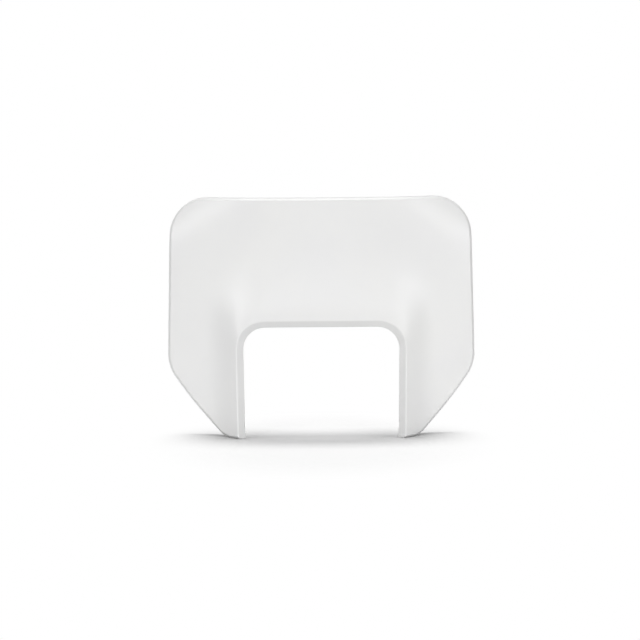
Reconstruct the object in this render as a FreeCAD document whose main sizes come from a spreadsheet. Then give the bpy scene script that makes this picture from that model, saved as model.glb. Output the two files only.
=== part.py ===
import FreeCAD, Part
import math
import os

import Sketcher
from FreeCAD import Placement, Rotation, Vector

# Headlight number plate: one injection-moulded shell with its rear bosses and strap hooks, in millimetres.
# X runs across the plate, the face looks along -Y and Z is up.
# The origin is the centre of the four lamp bosses, on the plane of their seating faces.

SIZES = {
    # Outline of the face, with heights measured from the origin
    "plate_width": 280.0,        # across the shoulders, before they are rounded
    "crown_width": 271.5,        # between the side edges, carried up to the top edge
    "crown_height": 131.5,       # origin up to the top edge
    "crown_corner": 35.0,        # radius of the two top corners
    "shoulder_drop": 21.5,       # origin down to the shoulders
    "shoulder_corner": 36.0,     # radius of the shoulders
    "leg_drop": 85.0,            # origin down to the leg ends
    "leg_span": 176.5,           # between the outer corners of the leg ends
    "leg_corner": 15.0,          # radius of those outer corners
    "lower_edge_bow": 390.0,     # radius of the slightly bowed edges from shoulder to leg

    # Lamp opening, open at the bottom
    "opening_width": 141.0,      # between its side walls, carried up to its top wall
    "opening_top": 16.0,         # origin up to its top wall
    "opening_corner": 20.0,      # radius of its two top corners
    "opening_draft": 0.5,        # degrees that its side walls close in towards the leg ends
    "lip_width": 6.0,            # bevelled lip, seen from the front
    "lip_depth": 5.0,            # how far the bevel falls back

    # Form of the face, from front to back
    "standoff": 22.0,            # face at the middle, in front of the boss faces
    "face_bow": 500.0,           # radius across the face
    "face_crown": 2500.0,        # radius up and down the face
    "corner_sweep": 6.6,         # how far the top corners are swept back
    "sweep_reach": 36.0,         # width of the swept corner
    "sweep_angle": 30.0,         # degrees of its bend line from the horizontal
    "rim_forward": 5.0,          # lamp rim in front of the face at the middle
    "hood_side_reach": 33.5,     # length of the hood's slope beside the opening
    "hood_top_reach": 62.0,      # length of the hood's slope above the opening
    "rim_land": 6.0,             # level land between that slope and the rim

    # Shell
    "wall": 2.8,                 # thickness of the moulding
    "return_depth": 10.0,        # how far the edges turn back
    "edge_bevel": 2.0,           # bevel along the outer bend of the turned edge
    "rim_round": 1.2,            # crest of the lamp rim

    # Screw bosses for the lamp
    "boss_offset": 19.5,         # opening's side wall to the boss axis
    "boss_rise": 80.0,           # lower bosses up to the upper ones
    "boss_face": 9.0,            # diameter at the seating face
    "boss_root": 11.0,           # diameter at the depth of the lamp rim
    "pilot_bore": 4.2,           # diameter of the blind screw hole
    "pilot_depth": 10.0,         # depth of that hole
    "fin_wall": 1.8,             # thickness of the four fins on a boss
    "fin_foot": 16.0,            # boss axis to the end of a fin, at the depth of the lamp rim
    "fin_setback": 4.0,          # fins stop this far short of the seating face

    # Hooks for the rubber straps
    "hook_span": 188.0,          # between the outer faces of the two stems
    "hook_height": 88.0,         # origin up to the middle of the hooks
    "hook_width": 18.0,          # height of a hook
    "hook_stem": 4.0,            # thickness of the stem
    "hook_lip": 10.0,            # lip turned outwards, past the stem
    "hook_lip_wall": 3.5,        # thickness of the lip
    "hook_back": 11.0,           # back of the lip, behind the boss faces
    "hook_bend": 2.5,            # outer radius of the hook's bend
}

GRID_PITCH = 7.0                 # spacing of the points that the face surface passes through
OVERRUN = 15.0                   # cutters and surfaces run this far past what they shape
NEAR = 0.01                      # points closer than this are one place

START, END, CENTRE = range(1, 4)  # the points of a sketch element
ROOT, UPRIGHT = -1, -2           # a sketch's origin and its upright axis
CLEAR = f"4 * (Sizes.standoff + Sizes.rim_forward + {OVERRUN})"
BEVEL_ANGLE = "atan(Sizes.lip_width / Sizes.lip_depth)"

doc = FreeCAD.newDocument("headlight_number_plate")
sheet = doc.addObject("Spreadsheet::Sheet", "Sizes")
for row, (alias, number) in enumerate(SIZES.items(), start=1):
    sheet.set(f"A{row}", alias)
    sheet.set(f"B{row}", str(number))
    sheet.setAlias(f"B{row}", alias)
doc.recompute()


def size(alias):
    return float(sheet.get(alias))


def bind(thing, expressions):
    for name, expression in expressions.items():
        thing.setExpression(name, expression)


def mirrored(point):
    return Vector(-point.x, point.y, point.z)


def sketch_on(body, role, name):
    sketch = body.newObject("Sketcher::SketchObject", name)
    plane = next(item for item in body.Origin.OriginFeatures if item.Role == role)
    sketch.AttachmentSupport = [(plane, "")]
    sketch.MapMode = "FlatFace"
    return sketch


def constrain(sketch, kind, *where, expression=None):
    index = sketch.addConstraint(Sketcher.Constraint(kind, *where))
    if expression:
        sketch.setExpression(f"Constraints[{index}]", expression)


def pad(body, sketch, name, expressions, **settings):
    feature = body.newObject("PartDesign::Pad", name)
    feature.Profile = sketch
    for setting, value in settings.items():
        setattr(feature, setting, value)
    bind(feature, expressions)
    doc.recompute()
    return feature


def combined(kind, name, base, tool):
    result = doc.addObject(kind, name)
    result.Base = base
    result.Tool = tool
    doc.recompute()
    return result


def eased(kind, name, base, wanted, alias):
    """Fillet or chamfer of the edges that a test picks out."""
    result = doc.addObject(kind, name)
    result.Base = base
    result.Edges = [(number, size(alias), size(alias)) for number in edge_numbers(base.Shape, wanted)]
    doc.recompute()
    return result


def edge_numbers(shape, wanted):
    return [number for number, edge in enumerate(shape.Edges, start=1) if wanted(edge)]


def middle_of(edge):
    return edge.valueAt((edge.FirstParameter + edge.LastParameter) / 2)


# Face surface: a bowed panel with swept corners that rises into a hood round the lamp opening

def panel_depth(x, z):
    angle = math.radians(size("sweep_angle"))
    corner = size("crown_corner")
    across = abs(x) - (size("crown_width") / 2 - corner)
    up = z - (size("crown_height") - corner)
    past_bend = across * math.sin(angle) + up * math.cos(angle) - corner + size("sweep_reach")
    swept = size("corner_sweep") * (max(past_bend, 0.0) / size("sweep_reach")) ** 3
    bowed = x ** 2 / (2 * size("face_bow")) + z ** 2 / (2 * size("face_crown"))
    return bowed + swept - size("standoff")


def opening_middle():
    """Distance from the middle of the plate to the centres of the opening's corners."""
    draft = math.radians(size("opening_draft"))
    return size("opening_width") / 2 - size("opening_corner") * (math.tan(draft) + 1 / math.cos(draft))


def past_rim(x, z):
    """Distance outside the lamp rim, with 0 for beside the opening to 1 for above it."""
    draft = math.radians(size("opening_draft"))
    rim = size("opening_corner") + size("lip_width")
    up = z - (size("opening_top") - size("opening_corner"))
    across = abs(x) - opening_middle() - min(up, 0.0) * math.tan(draft)
    if up <= 0:
        return across - rim, 0.0
    if across <= 0:
        return up - rim, 1.0
    return math.hypot(across, up) - rim, up ** 2 / (across ** 2 + up ** 2)


def hood_share(x, z):
    """1 at the lamp rim, falling to 0 where the hood runs out into the panel.

    Beside the opening the slope is steepest at the rim, and above it the hood runs level over the rim's
    land and then falls away.
    Inside the rim, where the opening is cut away, the slope runs on and fades.
    """
    past, above = past_rim(x, z)
    reach = size("hood_side_reach") * (1 - above) + size("hood_top_reach") * above
    steepness = 2 * (1 - above)
    past -= size("rim_land") * above
    if past < 0:
        inside = min(-past / (size("opening_corner") + size("lip_width")), 1.0)
        return 1 - steepness * past / reach * (1 - inside ** 2) ** 3
    share = min(past / reach, 1.0)
    return (1 - share) ** 3 * (1 + (3 - steepness) * share)


def face_point(x, z):
    rim = -size("standoff") - size("rim_forward")
    share = hood_share(x, z)
    return Vector(x, panel_depth(x, z) * (1 - share) + rim * share, z)


def inner_point(x, z):
    """The face's point moved back square to the face by the wall."""
    step = NEAR
    across = face_point(x + step, z) - face_point(x - step, z)
    upwards = face_point(x, z + step) - face_point(x, z - step)
    return face_point(x, z) + upwards.cross(across).normalize() * size("wall")


def spread(low, high):
    count = math.ceil((high - low) / GRID_PITCH)
    return [low + (high - low) * index / count for index in range(count + 1)]


def surface(name, point_at):
    half = size("plate_width") / 2 + OVERRUN
    columns = spread(-half, half)
    rows = spread(-size("leg_drop") - OVERRUN, size("crown_height") + OVERRUN)
    skin = Part.BSplineSurface()
    skin.interpolate([[point_at(x, z) for z in rows] for x in columns])
    feature = doc.addObject("Part::Feature", name)
    feature.Shape = skin.toShape()
    return feature


def slab(name, skin, expressions):
    """The space behind a surface, as a solid."""
    block = doc.addObject("Part::Extrusion", name)
    block.Base = skin
    block.DirMode = "Custom"
    block.Dir = Vector(0, 1, 0)
    block.Solid = True
    bind(block, expressions)
    doc.recompute()
    return block


# Outline of the plate, as a prism through the whole depth

def round_corners(body, base, name, corner):
    """Fillet of the upright edges over a corner of the outline and its mirror image."""

    def over_corner(edge):
        one_end, other_end = [vertex.Point for vertex in edge.Vertexes]
        offset = math.hypot(abs(one_end.x) - corner.x, one_end.z - corner.y)
        return offset < NEAR and abs(one_end.y - other_end.y) > NEAR

    fillet = body.newObject("PartDesign::Fillet", name)
    fillet.Base = (base, [f"Edge{number}" for number in edge_numbers(base.Shape, over_corner)])
    fillet.setExpression("Radius", f"Sizes.{name}")
    doc.recompute()
    return fillet


def outline_prism():
    body = doc.addObject("PartDesign::Body", "outline_prism")
    sketch = sketch_on(body, "XZ_Plane", "outline")
    leg = Vector(size("leg_span") / 2, -size("leg_drop"), 0)
    shoulder = Vector(size("plate_width") / 2, -size("shoulder_drop"), 0)
    crown = Vector(size("crown_width") / 2, size("crown_height"), 0)
    bow = size("lower_edge_bow")
    chord = shoulder - leg
    rise = bow - math.sqrt(bow ** 2 - (chord.Length / 2) ** 2)
    belly = (leg + shoulder) / 2 + Vector(chord.y, -chord.x, 0).normalize() * rise
    sketch.addGeometry([
        Part.LineSegment(mirrored(leg), leg),
        Part.Arc(leg, belly, shoulder),
        Part.LineSegment(shoulder, crown),
        Part.LineSegment(crown, mirrored(crown)),
        Part.LineSegment(mirrored(crown), mirrored(shoulder)),
        Part.Arc(mirrored(shoulder), mirrored(belly), mirrored(leg)),
    ])
    foot, right_bow, right_side, top, left_side, left_bow = range(6)
    loop = [foot, right_bow, right_side, top, left_side, left_bow]
    for element, following in zip(loop, loop[1:] + loop[:1]):
        constrain(sketch, "Coincident", element, END, following, START)
    constrain(sketch, "Symmetric", foot, START, foot, END, UPRIGHT)
    constrain(sketch, "Symmetric", top, START, top, END, UPRIGHT)
    constrain(sketch, "Symmetric", right_side, START, left_side, END, UPRIGHT)
    constrain(sketch, "Equal", right_bow, left_bow)
    constrain(sketch, "Radius", right_bow, bow, expression="Sizes.lower_edge_bow")
    constrain(sketch, "DistanceX", foot, START, foot, END, 2 * leg.x, expression="Sizes.leg_span")
    constrain(sketch, "DistanceX", top, END, top, START, 2 * crown.x, expression="Sizes.crown_width")
    constrain(sketch, "DistanceX", left_side, END, right_side, START, 2 * shoulder.x,
              expression="Sizes.plate_width")
    constrain(sketch, "DistanceY", foot, END, ROOT, START, -leg.y, expression="Sizes.leg_drop")
    constrain(sketch, "DistanceY", right_side, START, ROOT, START, -shoulder.y,
              expression="Sizes.shoulder_drop")
    constrain(sketch, "DistanceY", ROOT, START, top, START, crown.y, expression="Sizes.crown_height")
    feature = pad(body, sketch, "outline_pad", {"Length": CLEAR}, SideType="Symmetric")
    feature = round_corners(body, feature, "crown_corner", crown)
    feature = round_corners(body, feature, "shoulder_corner", shoulder)
    round_corners(body, feature, "leg_corner", leg)
    return body


# Lamp opening: a straight hole that flares forwards into the bevelled lip

def opening_cutter(name, growth):
    """The opening as a solid, grown square to its walls, that flares in front of the bevel's foot."""
    body = doc.addObject("PartDesign::Body", name)
    sketch = sketch_on(body, "XZ_Plane", name + "_outline")
    bevel_foot = "Sizes.standoff + Sizes.rim_forward - Sizes.lip_depth"
    sketch.setExpression("AttachmentOffset.Base.z", f"{bevel_foot} - {growth} * tan({BEVEL_ANGLE} / 2)")
    draft = math.radians(size("opening_draft"))
    corner = size("opening_corner")
    centre = Vector(opening_middle(), size("opening_top") - corner, 0)
    turn = centre + Vector(math.cos(draft), -math.sin(draft), 0) * corner
    foot = turn - Vector(math.tan(draft), 1, 0) * (turn.y + size("leg_drop") + OVERRUN)
    bend = centre + Vector(1, 1, 0).normalize() * corner
    crest = centre + Vector(0, corner, 0)
    sketch.addGeometry([
        Part.LineSegment(mirrored(foot), foot),
        Part.LineSegment(foot, turn),
        Part.Arc(turn, bend, crest),
        Part.LineSegment(crest, mirrored(crest)),
        Part.Arc(mirrored(crest), mirrored(bend), mirrored(turn)),
        Part.LineSegment(mirrored(turn), mirrored(foot)),
    ])
    sill, right_side, right_corner, top, left_corner, left_side = range(6)
    constrain(sketch, "Coincident", sill, END, right_side, START)
    constrain(sketch, "Tangent", right_side, END, right_corner, START)
    constrain(sketch, "Tangent", right_corner, END, top, START)
    constrain(sketch, "Tangent", top, END, left_corner, START)
    constrain(sketch, "Tangent", left_corner, END, left_side, START)
    constrain(sketch, "Coincident", left_side, END, sill, START)
    constrain(sketch, "Symmetric", sill, START, sill, END, UPRIGHT)
    constrain(sketch, "Symmetric", top, START, top, END, UPRIGHT)
    constrain(sketch, "Equal", right_corner, left_corner)
    constrain(sketch, "Angle", right_side, math.pi / 2 - draft,
              expression="90 deg - Sizes.opening_draft * 1 deg")
    constrain(sketch, "DistanceX", ROOT, START, right_corner, CENTRE, centre.x,
              expression="Sizes.opening_width / 2 - Sizes.opening_corner"
                         " * (tan(Sizes.opening_draft) + 1 / cos(Sizes.opening_draft))")
    constrain(sketch, "DistanceY", sill, END, ROOT, START, -foot.y,
              expression=f"Sizes.leg_drop + {OVERRUN}")
    constrain(sketch, "Radius", right_corner, corner, expression=f"Sizes.opening_corner + {growth}")
    constrain(sketch, "DistanceY", ROOT, START, top, START, crest.y,
              expression=f"Sizes.opening_top + {growth}")
    pad(body, sketch, name + "_hole", {"Length": CLEAR}, Reversed=True)
    pad(body, sketch, name + "_flare", {"Length": f"Sizes.lip_depth + {OVERRUN}", "TaperAngle": BEVEL_ANGLE})
    return body


# Shell: what the mould's cavity leaves round its core

def shell(inner):
    prism = outline_prism()
    face = surface("face_surface", face_point)
    face_slab = slab("face_slab", face, {"LengthFwd": "Sizes.return_depth"})
    blank = combined("Part::Common", "blank", prism, face_slab)
    two_largest = sorted(blank.Shape.Faces, key=lambda side: side.Area)[-2:]
    front = min(two_largest, key=lambda side: side.CenterOfMass.y)

    def on_front(edge):
        return any(edge.isSame(other) for other in front.Edges)

    cavity = eased("Part::Chamfer", "edged_blank", blank, on_front, "edge_bevel")
    opening = opening_cutter("opening", "0")
    cavity = combined("Part::Cut", "opened_blank", cavity, opening)
    rim = -size("standoff") - size("rim_forward")

    def on_crest(edge):
        place = middle_of(edge)
        past = past_rim(place.x, place.z)[0]
        return abs(past) < size("rim_round") and place.y < rim + size("rim_round")

    cavity = eased("Part::Fillet", "rimmed_blank", cavity, on_crest, "rim_round")
    inset = doc.addObject("Part::Offset", "inset_prism")
    inset.Source = prism
    inset.setExpression("Value", "-Sizes.wall")
    core = combined("Part::Common", "core_blank", inset, slab("core_slab", inner, {"LengthFwd": CLEAR}))
    core = combined("Part::Cut", "core", core, opening_cutter("core_opening", "Sizes.wall"))
    return combined("Part::Cut", "shell", cavity, core)


# Bosses and hooks, which run forwards into the wall of the shell

def primitive(kind, name, expressions, turn=Rotation()):
    block = doc.addObject(kind, name)
    block.Placement = Placement(Vector(), turn)
    bind(block, expressions)
    return block


def boss(name, side, level):
    """Post, crossed fins and pilot hole of one boss."""
    place = {"Placement.Base.x": f"{side} * (Sizes.opening_width / 2 + Sizes.boss_offset)",
             "Placement.Base.z": f"{level} * Sizes.boss_rise / 2"}
    forwards = Rotation(Vector(1, 0, 0), 90)
    post = primitive("Part::Cone", name + "_post", {
        "Radius1": "Sizes.boss_face / 2",
        "Radius2": "Sizes.boss_root / 2",
        "Height": "Sizes.standoff + Sizes.rim_forward",
        **place}, forwards)
    half_wall = "Sizes.fin_wall / 2"
    fins = []
    for axis, other in (("X", "Z"), ("Z", "X")):
        fins.append(primitive("Part::Wedge", f"{name}_fin_{axis.lower()}", {
            "Ymin": "-Sizes.standoff - Sizes.rim_forward",
            "Ymax": "-Sizes.fin_setback",
            f"{axis}min": "-Sizes.fin_foot",
            f"{axis}max": "Sizes.fin_foot",
            f"{axis}2min": "-Sizes.boss_face / 2",
            f"{axis}2max": "Sizes.boss_face / 2",
            f"{other}min": "-" + half_wall,
            f"{other}max": half_wall,
            f"{other}2min": "-" + half_wall,
            f"{other}2max": half_wall,
            **place}))
    pilot = primitive("Part::Cylinder", name + "_pilot", {
        "Radius": "Sizes.pilot_bore / 2",
        "Height": "Sizes.pilot_depth",
        **place}, forwards)
    return [post] + fins, pilot


def strap_hook():
    body = doc.addObject("PartDesign::Body", "right_hook")
    sketch = sketch_on(body, "XY_Plane", "hook_profile")
    outside = size("hook_span") / 2
    inside = outside - size("hook_stem")
    tip = outside + size("hook_lip")
    back = size("hook_back")
    mouth = back - size("hook_lip_wall")
    root = -size("standoff") - size("rim_forward")
    corners = [Vector(inside, root), Vector(outside, root), Vector(outside, mouth), Vector(tip, mouth),
               Vector(tip, back), Vector(inside, back)]
    followers = corners[1:] + corners[:1]
    sketch.addGeometry([Part.LineSegment(corner, follower) for corner, follower in zip(corners, followers)])
    foot, stem, underside, end, rear, inner_side = range(6)
    for element, following in zip(range(6), (stem, underside, end, rear, inner_side, foot)):
        constrain(sketch, "Coincident", element, END, following, START)
    for element in (foot, underside, rear):
        constrain(sketch, "Horizontal", element)
    for element in (stem, end, inner_side):
        constrain(sketch, "Vertical", element)
    constrain(sketch, "DistanceX", ROOT, START, stem, START, outside, expression="Sizes.hook_span / 2")
    constrain(sketch, "DistanceX", foot, START, foot, END, outside - inside, expression="Sizes.hook_stem")
    constrain(sketch, "DistanceX", underside, START, underside, END, tip - outside,
              expression="Sizes.hook_lip")
    constrain(sketch, "DistanceY", end, START, end, END, back - mouth, expression="Sizes.hook_lip_wall")
    constrain(sketch, "DistanceY", ROOT, START, rear, START, back, expression="Sizes.hook_back")
    constrain(sketch, "DistanceY", foot, START, ROOT, START, -root,
              expression="Sizes.standoff + Sizes.rim_forward")
    block = pad(body, sketch, "hook_block", {"Length": "Sizes.hook_width"}, SideType="Symmetric")

    def on_bend(edge):
        place = middle_of(edge)
        return math.hypot(place.x - inside, place.y - back) < NEAR

    bend = body.newObject("PartDesign::Fillet", "hook_bend")
    bend.Base = (block, [f"Edge{number}" for number in edge_numbers(block.Shape, on_bend)])
    bend.setExpression("Radius", "Sizes.hook_bend")
    body.setExpression("Placement.Base.z", "Sizes.hook_height")
    doc.recompute()
    return body


def mirror_image(name, source):
    image = doc.addObject("Part::Mirroring", name)
    image.Source = source
    image.Normal = Vector(1, 0, 0)
    return image


def moulding():
    inner = surface("inner_surface", inner_point)
    plain_shell = shell(inner)
    right_hook = strap_hook()
    fittings = [right_hook, mirror_image("left_hook", right_hook)]
    pilots = doc.addObject("Part::Compound", "pilots")
    for height, level in (("lower", -1), ("upper", 1)):
        for hand, side in (("left", -1), ("right", 1)):
            solids, pilot = boss(f"{height}_{hand}", side, level)
            fittings += solids
            pilots.Links += [pilot]
    fitted = doc.addObject("Part::MultiFuse", "fittings")
    fitted.Shapes = fittings
    rooted_space = slab("rooted_space", inner, {"LengthFwd": CLEAR, "LengthRev": "Sizes.wall / 2"})
    rooted = combined("Part::Common", "rooted_fittings", fitted, rooted_space)
    rooted = combined("Part::Cut", "trimmed_fittings", rooted, opening_cutter("rim_middle", "Sizes.wall / 2"))
    solid = combined("Part::Fuse", "shell_with_fittings", plain_shell, rooted)
    return combined("Part::Cut", "number_plate", solid, pilots)


plate = moulding()
plate.Label = "number_plate"
faults = [item.Name for item in doc.Objects if "Invalid" in item.State or "Error" in item.State]
if faults or plate.Shape.isNull() or not plate.Shape.isValid() or len(plate.Shape.Solids) != 1:
    raise RuntimeError(f"the plate is not one sound solid: {faults}")
os.makedirs("parts", exist_ok=True)
plate.Shape.exportStep(f"parts/{plate.Label}.step")
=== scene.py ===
import math

import bmesh
import bpy
from mathutils import Matrix, Vector


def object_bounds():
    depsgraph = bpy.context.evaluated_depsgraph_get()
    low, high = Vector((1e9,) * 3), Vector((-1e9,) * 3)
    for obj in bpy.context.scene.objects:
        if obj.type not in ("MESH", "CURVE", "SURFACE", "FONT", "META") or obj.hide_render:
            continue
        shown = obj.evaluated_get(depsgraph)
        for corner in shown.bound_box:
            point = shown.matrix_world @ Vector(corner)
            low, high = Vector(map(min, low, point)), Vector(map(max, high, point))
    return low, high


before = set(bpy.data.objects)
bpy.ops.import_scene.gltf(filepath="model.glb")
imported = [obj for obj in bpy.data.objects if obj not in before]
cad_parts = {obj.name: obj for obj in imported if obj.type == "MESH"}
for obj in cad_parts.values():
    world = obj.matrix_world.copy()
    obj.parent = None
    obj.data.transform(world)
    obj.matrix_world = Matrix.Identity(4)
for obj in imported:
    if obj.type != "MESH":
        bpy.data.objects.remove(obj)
cad_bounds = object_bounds()

MM = 0.001
MIX_FIRST, MIX_SECOND, MIX_RESULT = 6, 7, 2  # colour sockets of a Mix node
scene = bpy.context.scene
scene.view_settings.view_transform = "Standard"
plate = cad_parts["number_plate"]


def linear(code):
    """Linear colour of an sRGB hex code."""
    def channel(start):
        value = int(code[start:start + 2], 16) / 255
        return value / 12.92 if value <= 0.04045 else ((value + 0.055) / 1.055) ** 2.4
    return (channel(1), channel(3), channel(5), 1.0)


def add_node(tree, kind, settings=None, inputs=None):
    """A shader node with its settings, and inputs that are either values or other nodes' outputs."""
    node = tree.nodes.new(kind)
    for name, value in (settings or {}).items():
        setattr(node, name, value)
    for name, value in (inputs or {}).items():
        if isinstance(value, bpy.types.NodeSocket):
            tree.links.new(value, node.inputs[name])
        else:
            node.inputs[name].default_value = value
    return node


def new_material(name):
    """A material with an empty node tree, and that tree."""
    material = bpy.data.materials.new(name)
    material.use_nodes = True
    material.node_tree.nodes.clear()
    return material, material.node_tree


# Injection-moulded polypropylene, solid white: a satin skin that takes soft highlights along its bends,
# slightly uneven in gloss where the melt cooled, with a very fine spark-eroded grain from the mould.
# The grain is drawn coarser than the real one, so that it shows in close views.
def moulded_polypropylene():
    cooling_size, waviness_size, grain_size = 60 * MM, 35 * MM, 0.6 * MM
    waviness_height, grain_height = 0.12 * MM, 0.03 * MM
    edge_radius = 1.2 * MM
    light_depth = 2.0 * MM
    material, tree = new_material("injection-moulded polypropylene, white")
    place = add_node(tree, "ShaderNodeTexCoord").outputs["Object"]
    patterns = []
    for feature, detail in ((cooling_size, 2.0), (waviness_size, 1.0), (grain_size, 4.0)):
        patterns.append(add_node(tree, "ShaderNodeTexNoise", inputs={
            "Vector": place, "Scale": 1 / feature, "Detail": detail}).outputs["Fac"])
    cooling, waviness, grain = patterns
    low_noise, high_noise = 0.3, 0.7
    cooled = add_node(tree, "ShaderNodeMapRange", inputs={
        "Value": cooling, "From Min": low_noise, "From Max": high_noise}).outputs["Result"]
    colour = add_node(tree, "ShaderNodeMix", {"data_type": "RGBA"}, {
        "Factor": cooled, MIX_FIRST: linear("#e6e6e6"), MIX_SECOND: linear("#e9e9e8")})
    roughness = add_node(tree, "ShaderNodeMapRange", inputs={
        "Value": cooled, "To Min": 0.38, "To Max": 0.46}).outputs["Result"]
    soft_edge = add_node(tree, "ShaderNodeBevel", {"samples": 6}, {"Radius": edge_radius})
    wavy = add_node(tree, "ShaderNodeBump", inputs={
        "Strength": 0.25, "Distance": waviness_height, "Height": waviness,
        "Normal": soft_edge.outputs["Normal"]})
    grained = add_node(tree, "ShaderNodeBump", inputs={
        "Strength": 0.2, "Distance": grain_height, "Height": grain, "Normal": wavy.outputs["Normal"]})
    skin = add_node(tree, "ShaderNodeBsdfPrincipled", inputs={
        "Base Color": colour.outputs[MIX_RESULT],
        "Roughness": roughness,
        "IOR": 1.49,
        "Subsurface Weight": 0.08,
        "Subsurface Radius": (1.0, 1.0, 1.0),
        "Subsurface Scale": light_depth,
        "Normal": grained.outputs["Normal"]})
    add_node(tree, "ShaderNodeOutputMaterial", inputs={"Surface": skin.outputs["BSDF"]})
    return material


def by_ray(tree, light, seen):
    """One value for rays that carry light on, and another for rays that see the studio itself."""
    path = add_node(tree, "ShaderNodeLightPath")
    mirrored = add_node(tree, "ShaderNodeMath", {"operation": "MAXIMUM"}, {
        0: path.outputs["Is Glossy Ray"], 1: path.outputs["Is Transmission Ray"]})
    eye = add_node(tree, "ShaderNodeMath", {"operation": "MAXIMUM"}, {
        0: path.outputs["Is Camera Ray"], 1: mirrored.outputs["Value"]})
    return add_node(tree, "ShaderNodeMapRange", inputs={
        "Value": eye.outputs["Value"], "To Min": light, "To Max": seen}).outputs["Result"]


# Seamless white studio paper: it takes the soft shadow round the object, and runs out into plain white.
def studio_paper():
    shadow_middle = (0.0, -0.05, 0.0)
    shadow_reach = (0.165, 0.15, 1.0)  # across and deep, out to plain white
    full_shadow = 0.42                 # share of that reach before the paper starts to fade
    sent_back, seen = 0.15, 0.228      # shares of its light that reach the object and the eye
    material, tree = new_material("studio paper, white")
    place = add_node(tree, "ShaderNodeTexCoord").outputs["Object"]
    scaled = add_node(tree, "ShaderNodeMapping", {"vector_type": "TEXTURE"}, {
        "Vector": place, "Location": shadow_middle, "Scale": shadow_reach})
    distance = add_node(tree, "ShaderNodeVectorMath", {"operation": "LENGTH"}, {
        "Vector": scaled.outputs["Vector"]}).outputs["Value"]
    far = add_node(tree, "ShaderNodeMapRange", {"interpolation_type": "SMOOTHSTEP"}, {
        "Value": distance, "From Min": full_shadow, "From Max": 1.0}).outputs["Result"]
    near = add_node(tree, "ShaderNodeBsdfDiffuse", inputs={"Color": by_ray(tree, light=sent_back, seen=seen)})
    white = add_node(tree, "ShaderNodeEmission", inputs={"Strength": 1.0})
    paper = add_node(tree, "ShaderNodeMixShader", inputs={
        "Fac": by_ray(tree, light=0.0, seen=far), 1: near.outputs["BSDF"], 2: white.outputs["Emission"]})
    add_node(tree, "ShaderNodeOutputMaterial", inputs={"Surface": paper.outputs["Shader"]})
    return material


def studio_floor(level):
    """A sheet of paper under the plate's feet."""
    half_width = 0.6
    mesh = bpy.data.meshes.new("studio floor")
    sheet = bmesh.new()
    bmesh.ops.create_grid(sheet, x_segments=1, y_segments=1, size=half_width,
                          matrix=Matrix.Translation((0.0, 0.0, level)))
    sheet.to_mesh(mesh)
    sheet.free()
    floor = bpy.data.objects.new("studio floor", mesh)
    floor.data.materials.append(studio_paper())
    scene.collection.objects.link(floor)
    return floor


def studio_world():
    """A faint even light on the object, in a studio that looks white."""
    world = bpy.data.worlds.new("studio")
    world.use_nodes = True
    tree = world.node_tree
    tree.nodes.clear()
    sky = add_node(tree, "ShaderNodeBackground", inputs={
        "Color": (1.0, 1.0, 1.0, 1.0), "Strength": by_ray(tree, light=0.07, seen=1.0)})
    add_node(tree, "ShaderNodeOutputWorld", inputs={"Surface": sky.outputs["Background"]})
    scene.world = world


def outwards(azimuth, elevation):
    """Direction from the origin, in degrees round from the front to the right and up from level."""
    around = math.radians(azimuth)
    up = math.radians(elevation)
    return Vector((math.sin(around) * math.cos(up), -math.cos(around) * math.cos(up), math.sin(up)))


def softbox(name, azimuth, elevation, power, distance=2.6, width=0.9, height=0.9, only=None):
    """An oval lamp that faces the origin.

    Where only is given, the lamp lights that object alone, and everything still casts its shadow there.
    """
    lamp = bpy.data.lights.new(name, "AREA")
    lamp.shape = "ELLIPSE"
    lamp.size = width
    lamp.size_y = height
    lamp.energy = power
    holder = bpy.data.objects.new(name, lamp)
    holder.location = outwards(azimuth, elevation) * distance
    holder.rotation_euler = (-holder.location).to_track_quat("-Z", "Y").to_euler()
    scene.collection.objects.link(holder)
    if only:
        lit = bpy.data.collections.new(name)
        lit.objects.link(only)
        holder.light_linking.receiver_collection = lit


def photo_camera():
    """The photograph's viewpoint: from the front and a little above, with a slight turn of the picture."""
    away = outwards(azimuth=0.0, elevation=8.0)
    distance = 1.6
    roll = math.radians(-0.45)
    target = Vector((-0.001, -0.015, 0.0215))
    lens = bpy.data.cameras.new("camera")
    lens.lens = 99.8
    lens.sensor_width = 36.0
    camera = bpy.data.objects.new("camera", lens)
    facing = (-away).to_track_quat("-Z", "Y").to_matrix()
    camera.matrix_world = (Matrix.Translation(target + away * distance)
                           @ (facing @ Matrix.Rotation(roll, 3, "Z")).to_4x4())
    scene.collection.objects.link(camera)
    scene.camera = camera


plate.material_slots[0].material = moulded_polypropylene()
floor = studio_floor(cad_bounds[0].z)
studio_world()
softbox("right softbox", azimuth=40.0, elevation=12.0, power=25.5)
softbox("left softbox", azimuth=-40.0, elevation=18.0, power=24.5)
softbox("front fill", azimuth=0.0, elevation=12.0, power=11.5)
softbox("rear fill", azimuth=-140.0, elevation=0.0, power=15.0)
softbox("overhead softbox", azimuth=180.0, elevation=83.2, power=19.0, distance=2.0, width=1.2, height=0.42)
softbox("paper softbox", azimuth=180.0, elevation=86.3, power=160.0, distance=2.0, width=1.7, height=0.75,
        only=floor)
photo_camera()
